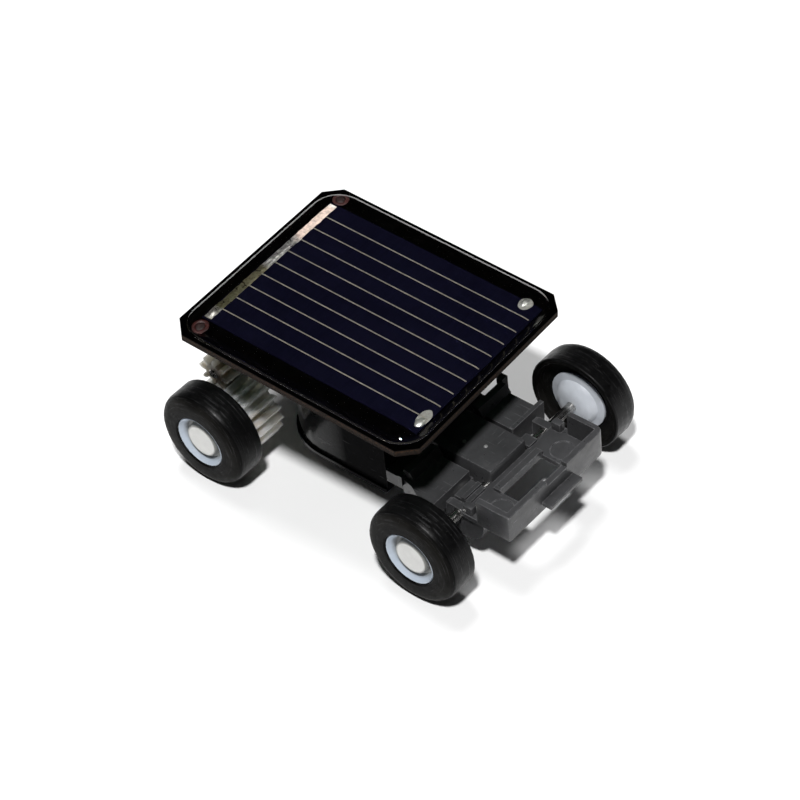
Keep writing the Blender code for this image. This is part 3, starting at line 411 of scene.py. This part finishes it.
def print_finish(name):
    """Fired silver paste: pale grey-beige, grainy, not shiny."""
    finish = Finish(name, metallic=0.25)
    dull, pale = (0.105, 0.100, 0.080), (0.20, 0.19, 0.155)
    finish.put("Base Color", finish.ramp(finish.noise(6.0, 4.0), (0.3, dull), (0.7, pale)))
    finish.put("Roughness", finish.ramp(finish.noise(8.0, 3.0), (0.3, 0.45), (0.7, 0.65)))
    finish.bump(finish.noise(15.0, 3.0), 0.006)
    return finish.material


def ribbon_finish(name):
    """Busbar in stretches: olive tarnish at the car's right, lumpy solder, then beige print at its left."""
    finish = Finish(name)
    place = panel_place(finish)
    wander = finish.number("MULTIPLY", finish.number("SUBTRACT", finish.noise(2.5, 3.0), 0.5), 0.8)
    along = finish.number("ADD", finish.split(place)[1], wander)
    spread = finish.number("DIVIDE", finish.number("ADD", along, 8.0), 16.0)
    tone = finish.ramp(spread, (0.0, (0.72, 0.70, 0.64)), (0.10, (0.72, 0.70, 0.64)),
                       (0.13, (0.20, 0.19, 0.11)), (0.44, (0.26, 0.24, 0.15)), (0.48, (0.74, 0.73, 0.70)),
                       (0.66, (0.78, 0.77, 0.74)), (0.70, (0.66, 0.53, 0.46)), (0.93, (0.72, 0.58, 0.50)),
                       (0.97, (0.85, 0.82, 0.78)))
    mottle = finish.ramp(finish.noise(4.0, 5.0, warp=0.5), (0.35, 0.55), (0.6, 1.0))
    finish.put("Base Color", finish.blend(1.0, tone, mottle, "MULTIPLY"))
    finish.put("Metallic", finish.ramp(spread, (0.66, 0.95), (0.72, 0.15)))
    finish.put("Roughness", finish.ramp(finish.noise(3.0, 4.0), (0.3, 0.22), (0.7, 0.5)))
    finish.bump(finish.noise(7.0, 4.0), 0.03)
    return finish.material


def epoxy_finish(name):
    """Clear cast resin. Light reaches what lies under it, so shadow rays pass straight through."""
    finish = Finish(name, (1.0, 1.0, 1.0))
    finish.put("IOR", 1.5)
    finish.put("Transmission Weight", 1.0)
    finish.put("Roughness", finish.ramp(finish.noise(0.8, 4.0), (0.4, 0.008), (0.75, 0.03)))
    finish.bump(finish.noise(0.16, 2.0), 0.05)
    clear = finish.add("ShaderNodeBsdfTransparent")
    clear.inputs["Color"].default_value = (0.97, 0.97, 0.96, 1.0)
    path = finish.add("ShaderNodeLightPath")
    mix = finish.add("ShaderNodeMixShader")
    finish.feed(mix.inputs[0], path.outputs["Is Shadow Ray"])
    finish.feed(mix.inputs[1], finish.shader.outputs[0])
    finish.feed(mix.inputs[2], clear.outputs[0])
    finish.feed(finish.output.inputs["Surface"], mix.outputs[0])
    return finish.material


def wire_finish(name, colour):
    """Soft vinyl insulation with a faint drawn texture."""
    finish = Finish(name)
    low, high = [c * 0.8 for c in colour], colour
    finish.put("Base Color", finish.ramp(finish.noise(2.0, 3.0), (0.3, low), (0.7, high)))
    finish.put("Roughness", finish.ramp(finish.noise(4.0, 3.0), (0.3, 0.30), (0.7, 0.45)))
    finish.bump(finish.noise(9.0, 2.0), 0.008)
    return finish.material


# Shaping helpers


def piece(name, build, material, body, place=None, smooth_angle=40.0):
    """A new object in the given place whose faces the function build adds, riding on a body of the frame."""
    mesh = bpy.data.meshes.new(name)
    bm = bmesh.new()
    build(bm)
    bmesh.ops.recalc_face_normals(bm, faces=bm.faces)
    bm.to_mesh(mesh)
    bm.free()
    mesh.materials.append(material)
    mesh.shade_smooth()
    mesh.set_sharp_from_angle(angle=math.radians(smooth_angle))
    obj = bpy.data.objects.new(name, mesh)
    bpy.context.scene.collection.objects.link(obj)
    if place:
        mesh.transform(place)
    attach(obj, body)
    return obj


def lofted(bm, rings):
    """Faces between rings of equally many points, each ring closed; the first and last are filled."""
    made = [[bm.verts.new(Vector(point) * MM) for point in ring] for ring in rings]
    count = len(made[0])
    for low, high in zip(made, made[1:]):
        for i in range(count):
            j = (i + 1) % count
            bm.faces.new((low[i], low[j], high[j], high[i]))
    bm.faces.new(made[0][::-1])
    bm.faces.new(made[-1])


def rounded_rectangle(half_x, half_y, radius, steps, sides):
    """Points around a rounded rectangle, with the given steps to a corner and to a straight side."""
    signs = ((1, 1), (-1, 1), (-1, -1), (1, -1))

    def on_corner(index, turned):
        angle = math.radians(90 * (index + turned))
        return (
            signs[index][0] * (half_x - radius) + radius * math.cos(angle),
            signs[index][1] * (half_y - radius) + radius * math.sin(angle),
        )

    points = []
    for index in range(4):
        points += [on_corner(index, i / steps) for i in range(steps + 1)]
        start, end = points[-1], on_corner((index + 1) % 4, 0.0)
        for i in range(1, sides):
            t = i / sides
            points.append((start[0] + (end[0] - start[0]) * t, start[1] + (end[1] - start[1]) * t))
    return points


def shading_group(angle):
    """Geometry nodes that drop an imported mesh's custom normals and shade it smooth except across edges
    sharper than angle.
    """
    name = f"weld_and_shade_{angle:.0f}"
    if name in bpy.data.node_groups:
        return bpy.data.node_groups[name]
    group = bpy.data.node_groups.new(name, "GeometryNodeTree")
    group.interface.new_socket("Geometry", in_out="INPUT", socket_type="NodeSocketGeometry")
    group.interface.new_socket("Geometry", in_out="OUTPUT", socket_type="NodeSocketGeometry")
    start = group.nodes.new("NodeGroupInput")
    end = group.nodes.new("NodeGroupOutput")
    clean = group.nodes.new("GeometryNodeRemoveAttribute")
    clean.inputs["Name"].default_value = "custom_normal"
    faces = group.nodes.new("GeometryNodeSetShadeSmooth")
    edges = group.nodes.new("GeometryNodeSetShadeSmooth")
    edges.domain = "EDGE"
    edges.inputs["Shade Smooth"].default_value = False
    bend = group.nodes.new("GeometryNodeInputMeshEdgeAngle")
    sharp = group.nodes.new("FunctionNodeCompare")
    sharp.operation = "GREATER_THAN"
    sharp.inputs[1].default_value = math.radians(angle)
    links = group.links
    links.new(start.outputs[0], clean.inputs[0])
    links.new(clean.outputs[0], faces.inputs[0])
    links.new(faces.outputs[0], edges.inputs[0])
    links.new(bend.outputs[0], sharp.inputs[0])
    links.new(sharp.outputs[0], edges.inputs["Selection"])
    links.new(edges.outputs[0], end.inputs[0])
    return group


def dress(node, material, rounding=0.0, segments=2, corner=32.0, shade=34.0):
    """Gives a CAD node its finish, welds it, sets its shading and rounds its sharp edges a little.

    rounding is in millimetres. Edges that turn by more than corner degrees are rounded, and those that
    turn by more than shade degrees are shaded as edges.
    """
    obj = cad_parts[node]
    for slot in obj.material_slots:
        slot.material = material
    weld = obj.modifiers.new("weld", "WELD")
    weld.merge_threshold = WELD * MM
    shading = obj.modifiers.new("shading", "NODES")
    shading.node_group = shading_group(shade)
    if rounding:
        edge = obj.modifiers.new("edge", "BEVEL")
        edge.width = rounding * MM
        edge.segments = segments
        edge.limit_method = "ANGLE"
        edge.angle_limit = math.radians(corner)
        edge.miter_outer = "MITER_ARC"
        edge.use_clamp_overlap = True
        edge.harden_normals = True


# Finishes of the CAD nodes


def dress_nodes():
    charcoal = moulded_finish("charcoal_moulding", (0.042, 0.042, 0.044), 0.36, (0.30, 0.30, 0.31),
                              wave=0.035, wear=0.55)
    gloss = moulded_finish("black_moulding", (0.006, 0.006, 0.0065), 0.14, (0.10, 0.10, 0.10),
                           grain=0.001, wave=0.02, wear=0.25, shine=(0.004, 0.16))
    nylon = nylon_finish("milky_nylon")
    steel = metal_finish("bright_steel", (0.66, 0.65, 0.63), 0.24, (0.42, 0.41, 0.39))
    can = metal_finish("plated_can", (0.62, 0.61, 0.57), 0.34, (0.40, 0.39, 0.36), lumps=0.02)
    core = metal_finish("core_steel", (0.42, 0.41, 0.40), 0.42, (0.26, 0.24, 0.22), lumps=0.02)
    bronze = metal_finish("sintered_bronze", (0.52, 0.34, 0.16), 0.48, (0.34, 0.20, 0.09), lumps=0.03)
    copper = metal_finish("enamelled_copper", (0.72, 0.30, 0.15), 0.30, (0.45, 0.16, 0.07), "X")
    brass = metal_finish("contact_copper", (0.80, 0.45, 0.22), 0.26, (0.50, 0.26, 0.12))
    tinned = metal_finish("tinned_joint", (0.90, 0.91, 0.86), 0.42, (0.70, 0.71, 0.66), lumps=0.04)
    ferrite = powder_finish("ferrite_magnet", (0.045, 0.042, 0.040), 0.75, 10.0, 0.012)
    foam = powder_finish("foam_pad", (0.72, 0.72, 0.67), 0.95, 3.2, 0.08, 0.12)
    dress("front_chassis", charcoal, 0.07, 1)
    dress("rear_body", gloss, 0.06, 2)
    for side in ("left", "right"):
        for end, x in (("front", FRONT_AXLE_X), ("rear", REAR_AXLE_X)):
            tyre = bpy.data.materials.get(end + "_rubber") or rubber_finish(end + "_rubber", x)
            hub = bpy.data.materials.get(end + "_hub_nylon") or hub_finish(end + "_hub_nylon", x)
            dress(f"{end}_{side}_tyre", tyre, 0.05, 2, 40.0, 40.0)
            dress(f"{end}_{side}_hub", hub, 0.05, 2, 40.0, 40.0)
    dress("drive_gear", nylon, 0.05, 2, 40.0)
    # The pinion is the gear's nylon with a much darker tint: painted shade for the shadow under the panel.
    dress("pinion", nylon_finish("painted_shade_nylon", (0.28, 0.27, 0.245)), 0.04, 2, 40.0)
    dress("front_axle", steel)
    dress("rear_axle", steel)
    dress("motor_shaft", steel)
    dress("motor_can", can, 0.08, 2, 50.0)
    dress("motor_end_cap", nylon, 0.06, 2, 50.0)
    dress("motor_bush", bronze, 0.04, 2, 50.0)
    dress("armature_core", core, 0.02, 1, 50.0)
    dress("commutator", brass, 0.02, 1, 50.0)
    for number in (1, 2, 3):
        dress(f"coil_{number}", copper, 0.04, 2, 50.0)
    for side in ("upper", "lower"):
        dress("brush_" + side, brass, 0.02, 1, 50.0)
    for side in ("front", "rear"):
        dress("magnet_" + side, ferrite, 0.05, 2, 50.0)
    dress("panel_board", board_finish("laminate_board"), 0.04, 2)
    dress("solar_cell", silicon_finish("etched_silicon"), 0.01, 1)
    dress("cell_grid", print_finish("silver_paste"))
    dress("panel_tape", foam, 0.06, 2)
    dress("wire_positive", wire_finish("red_vinyl", (0.42, 0.015, 0.012)), shade=60.0)
    dress("wire_negative", wire_finish("black_vinyl", (0.012, 0.012, 0.013)), shade=60.0)
    for name in ("positive", "negative"):
        dress("board_solder_" + name, tinned, 0.03, 2, 50.0)
    return tinned


# Pieces that stand for plain CAD solids


def make_dome():
    """Cast resin: level over the cell, rolling off over the last few millimetres to a thin round edge."""
    half_x = BOARD_LENGTH / 2 - DOME_INSET
    half_y = BOARD_WIDTH / 2 - DOME_INSET

    def ring(inset, height):
        radius = max(DOME_CORNER_R - inset, 0.25)
        outline = rounded_rectangle(half_x - inset, half_y - inset, radius, 8, 10)
        return [(x, y, BOARD_THICKNESS + height) for x, y in outline]

    def build(bm):
        rings = [ring(DOME_FLAT_INSET, DOME_LIFT), ring(0.02, DOME_LIFT)]
        for inset in (0.0, 0.03, 0.09, 0.18, 0.32, 0.5, 0.75, 1.05, 1.4, 1.9, DOME_FLAT_INSET):
            rise = 1.0 - (1.0 - min(1.0, inset / DOME_ROLL)) ** 2.2
            rings.append(ring(inset, DOME_EDGE + (DOME_HEIGHT - DOME_EDGE) * rise))
        lofted(bm, rings)

    dome = piece("resin_dome", build, epoxy_finish("clear_resin"), "chassis", PANEL_MATRIX, 70.0)
    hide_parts("epoxy_dome")


def make_busbar(material):
    """The busbar as it is after hand soldering: a thin strip with lumps of solder over its middle."""
    steps_y, steps_x = 150, 8

    def height(u, y):
        edge = 1.0 - abs(u) ** 4
        lumps = noise.noise(Vector((u * 1.3, y * 1.1, 3.0)))
        fine = noise.noise(Vector((u * 3.0, y * 4.0, 7.0)))
        middle = math.exp(-((y - 1.3) / 2.1) ** 4)
        near_blob = math.exp(-(((y + 6.75) / 0.42) ** 2 + (u / 0.9) ** 2))
        rise = 0.03 + 0.10 * middle * max(0.0, 0.6 + lumps + 0.4 * fine) + 0.015 * fine + 0.12 * near_blob
        return max(0.012, rise * edge)

    def build(bm):
        top, bottom = [], []
        for i in range(steps_y + 1):
            y = BUSBAR_HALF_LENGTH * (2 * i / steps_y - 1)
            slow = 0.05 * noise.noise(Vector((0.0, y * 0.9, 1.0)))
            quick = 0.02 * noise.noise(Vector((0.0, y * 4.0, 5.0)))
            swell = 1.0 + 0.18 * noise.noise(Vector((2.0, y * 1.6, 9.0)))
            row_top, row_bottom = [], []
            for j in range(steps_x + 1):
                u = -1.0 + 2.0 * j / steps_x
                x = BUSBAR_X + slow + quick + BUSBAR_HALF_WIDTH * swell * u
                row_top.append(bm.verts.new(Vector((x, y, PRINT_TOP + height(u, y))) * MM))
                row_bottom.append(bm.verts.new(Vector((x, y, PRINT_TOP + 0.004)) * MM))
            top.append(row_top)
            bottom.append(row_bottom)
        for i in range(steps_y):
            for j in range(steps_x):
                bm.faces.new((top[i][j], top[i][j + 1], top[i + 1][j + 1], top[i + 1][j]))
                bm.faces.new((bottom[i][j], bottom[i + 1][j], bottom[i + 1][j + 1], bottom[i][j + 1]))
            for rows in (0, steps_x):
                bm.faces.new((top[i][rows], top[i + 1][rows], bottom[i + 1][rows], bottom[i][rows]))
        for i in (0, steps_y):
            for j in range(steps_x):
                bm.faces.new((top[i][j], top[i][j + 1], bottom[i][j + 1], bottom[i][j]))

    strip = piece("busbar_strip", build, material, "chassis", PANEL_MATRIX, 60.0)
    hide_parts("busbar_ribbon")


def blob(bm, centre, radii, height, base, seed, rings=7, count=28):
    """A low drop of solder with an uneven outline, standing on the level base."""
    loops = []
    for k in range(rings + 1):
        lean = math.pi / 2 * k / (rings + 0.35)
        loop = []
        for i in range(count):
            angle = 2 * math.pi * i / count
            uneven = 1.0 + 0.10 * noise.noise(Vector((math.cos(angle) * 1.4, math.sin(angle) * 1.4, seed)))
            reach = math.cos(lean) * uneven
            loop.append((
                centre[0] + radii[0] * reach * math.cos(angle),
                centre[1] + radii[1] * reach * math.sin(angle),
                base + height * math.sin(lean),
            ))
        loops.append(loop)
    lofted(bm, [[(x, y, base - 0.012) for x, y, _ in loops[0]], *loops])


def make_front_joints(solder):
    """The two joints at the cell's front corners: a bright drop on a dull, spread-out foot."""
    foot_finish = powder_finish("flux_film", (0.16, 0.16, 0.145), 0.5, 6.0, 0.01)
    joints = (
        ("left", (8.76, 7.36), (0.30, 0.46), (0.52, 0.64), (0.10, -0.10)),
        ("right", (9.71, -6.63), (0.30, 0.52), (0.42, 0.86), (-0.05, 0.55)),
    )
    base = CELL_TOP + SOLDER_LIFT
    for index, (side, centre, drop, foot, lean) in enumerate(joints):

        def drop_shape(bm):
            blob(bm, centre, drop, 0.13, base + 0.035, 3.0 + index)

        def foot_shape(bm):
            blob(bm, (centre[0] + lean[0], centre[1] + lean[1]), foot, 0.03, base, 11.0 + index)

        made = piece("solder_drop_" + side, drop_shape, solder, "chassis", PANEL_MATRIX)
        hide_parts("front_solder_" + side)
        piece("solder_foot_" + side, foot_shape, foot_finish, "chassis", PANEL_MATRIX)


def ring_shape(bm, centre, base):
    """A low ring with a rounded section and a slightly uneven outline."""
    section = ((0.36, 0.0), (0.36, 0.05), (0.42, 0.09), (0.52, 0.10), (0.60, 0.07), (0.63, 0.0))
    count = 36
    made = []
    for i in range(count):
        angle = 2 * math.pi * i / count
        across, along = math.cos(angle), math.sin(angle)
        uneven = 1.0 + 0.05 * noise.noise(Vector((across * 1.5, along * 1.5, centre[1])))
        made.append([
            bm.verts.new(Vector((
                centre[0] + reach * uneven * across, centre[1] + reach * uneven * along, base + rise,
            )) * MM)
            for reach, rise in section
        ])
    for i in range(count):
        here, there = made[i], made[(i + 1) % count]
        for j in range(len(section)):
            k = (j + 1) % len(section)
            bm.faces.new((here[j], here[k], there[k], there[j]))


def make_rear_pads():
    """Red-brown ring pads around the two filled holes in the board's rear corners."""
    finish = Finish("ring_pad", roughness=0.5)
    finish.put("Base Color", finish.ramp(finish.noise(4.0, 4.0), (0.3, (0.010, 0.0012, 0.0008)),
                                         (0.7, (0.034, 0.0040, 0.0025))))
    finish.bump(finish.noise(9.0, 3.0), 0.02)
    plug = Finish("hole_plug", roughness=0.55)
    plug.put("Base Color", plug.ramp(plug.noise(5.0, 4.0), (0.3, (0.004, 0.0008, 0.0006)),
                                     (0.7, (0.012, 0.0022, 0.0015))))
    plug.bump(plug.noise(7.0, 3.0), 0.03)
    base = BOARD_THICKNESS + PAD_LIFT
    for side, centre in (("left", (-9.05, 8.25)), ("right", (-9.0, -8.25))):

        def pad_shape(bm):
            ring_shape(bm, centre, base)

        def plug_shape(bm):
            blob(bm, centre, (0.33, 0.33), 0.05, base, 21.0 + centre[1])

        pad = piece("ring_pad_" + side, pad_shape, finish.material, "chassis", PANEL_MATRIX)
        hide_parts("rear_pad_" + side)
        piece("hole_plug_" + side, plug_shape, plug.material, "chassis", PANEL_MATRIX)


def make_moulding_marks():
    """Gate nubs left on the front moulding's middle block."""
    finish = moulded_finish("gate_nub", (0.20, 0.20, 0.20), 0.25, (0.6, 0.6, 0.6))
    for name, x, y in (("front", 7.87, -0.19), ("rear", 6.27, -0.68)):

        def nub_shape(bm):
            blob(bm, (x, y), (0.17, 0.17), 0.10, BLOCK_TOP_Z, x, 5, 18)

        piece("gate_nub_" + name, nub_shape, finish, "chassis")


# Studio


def make_floor():
    mesh = bpy.data.meshes.new("floor")
    bm = bmesh.new()
    bmesh.ops.create_grid(bm, x_segments=4, y_segments=4, size=FLOOR_HALF_SIZE * MM)
    bm.to_mesh(mesh)
    bm.free()
    floor = bpy.data.objects.new("floor", mesh)
    bpy.context.scene.collection.objects.link(floor)
    finish = Finish("paper_sweep", roughness=0.9)
    finish.put("Base Color", finish.ramp(finish.noise(0.05, 2.0), (0.3, 0.90), (0.7, 0.93)))
    finish.put("Specular IOR Level", 0.1)
    mesh.materials.append(finish.material)


def make_world():
    """A faint sky, brightest overhead, for diffuse rays, and the backdrop for the camera's."""
    world = bpy.data.worlds.new("studio")
    bpy.context.scene.world = world
    world.use_nodes = True
    nodes, links = world.node_tree.nodes, world.node_tree.links
    path = nodes.new("ShaderNodeLightPath").outputs
    height = nodes.new("ShaderNodeSeparateXYZ")
    links.new(nodes.new("ShaderNodeTexCoord").outputs["Generated"], height.inputs[0])

    def number(operation, *values):
        node = nodes.new("ShaderNodeMath")
        node.operation = operation
        for socket, value in zip(node.inputs, values):
            if isinstance(value, bpy.types.NodeSocket):
                links.new(value, socket)
            else:
                socket.default_value = value
        return node.outputs[0]

    squared = number("MULTIPLY", height.outputs[2], height.outputs[2])
    sky = number("MULTIPLY", squared, number("MULTIPLY", path["Is Diffuse Ray"], SKY))
    strength = number("MULTIPLY_ADD", path["Is Camera Ray"], BACKDROP, sky)
    background = nodes["Background"].inputs
    background["Color"].default_value = (1.0, 1.0, 1.0, 1.0)
    links.new(strength, background["Strength"])


def make_lamps():
    """Both lamps light what is under the resin by shadow rays, so they are hidden from refracted ones."""
    for name, direction, size, power in (
        ("key", KEY_DIRECTION, KEY_SIZE, KEY_POWER),
        ("soft", SOFT_DIRECTION, SOFT_SIZE, SOFT_POWER),
    ):
        data = bpy.data.lights.new(name, "AREA")
        data.shape = "DISK"
        data.size = size * MM
        data.energy = power
        lamp = bpy.data.objects.new(name, data)
        lamp.location = Vector(direction).normalized() * LAMP_DISTANCE * MM
        lamp.rotation_euler = lamp.location.to_track_quat("Z", "Y").to_euler()
        lamp.visible_glossy = name == "key"
        lamp.visible_transmission = False
        bpy.context.scene.collection.objects.link(lamp)


def make_camera():
    azimuth, elevation, roll = (math.radians(a) for a in (CAMERA_AZIMUTH, CAMERA_ELEVATION, CAMERA_ROLL))
    back = Vector((
        math.sin(azimuth) * math.cos(elevation),
        -math.cos(azimuth) * math.cos(elevation),
        math.sin(elevation),
    ))
    level = Vector((0.0, 0.0, 1.0)).cross(back).normalized()
    upright = back.cross(level)
    right = level * math.cos(roll) + upright * math.sin(roll)
    up = upright * math.cos(roll) - level * math.sin(roll)
    data = bpy.data.cameras.new("camera")
    data.lens = LENS
    data.sensor_width = SENSOR
    data.clip_start = NEAREST_SEEN * MM
    camera = bpy.data.objects.new("camera", data)
    place = Vector(CAMERA_TARGET) + right * CAMERA_SHIFT[0] + up * CAMERA_SHIFT[1] + back * CAMERA_DISTANCE
    matrix = Matrix((right, up, back)).transposed().to_4x4()
    matrix.translation = place * MM
    camera.matrix_world = matrix
    bpy.context.scene.collection.objects.link(camera)
    bpy.context.scene.camera = camera


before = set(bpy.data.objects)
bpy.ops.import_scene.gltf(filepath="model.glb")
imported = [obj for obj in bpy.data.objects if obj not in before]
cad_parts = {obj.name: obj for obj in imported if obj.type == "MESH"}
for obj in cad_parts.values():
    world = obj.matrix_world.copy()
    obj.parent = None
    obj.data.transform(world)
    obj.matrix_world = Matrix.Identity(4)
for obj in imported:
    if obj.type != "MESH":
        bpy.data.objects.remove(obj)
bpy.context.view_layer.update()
bpy.context.scene.view_settings.view_transform = "Standard"
solder_finish = dress_nodes()
make_dome()
make_busbar(ribbon_finish("busbar_surface"))
make_front_joints(solder_finish)
make_rear_pads()
make_moulding_marks()
make_floor()
make_world()
make_lamps()
make_camera()
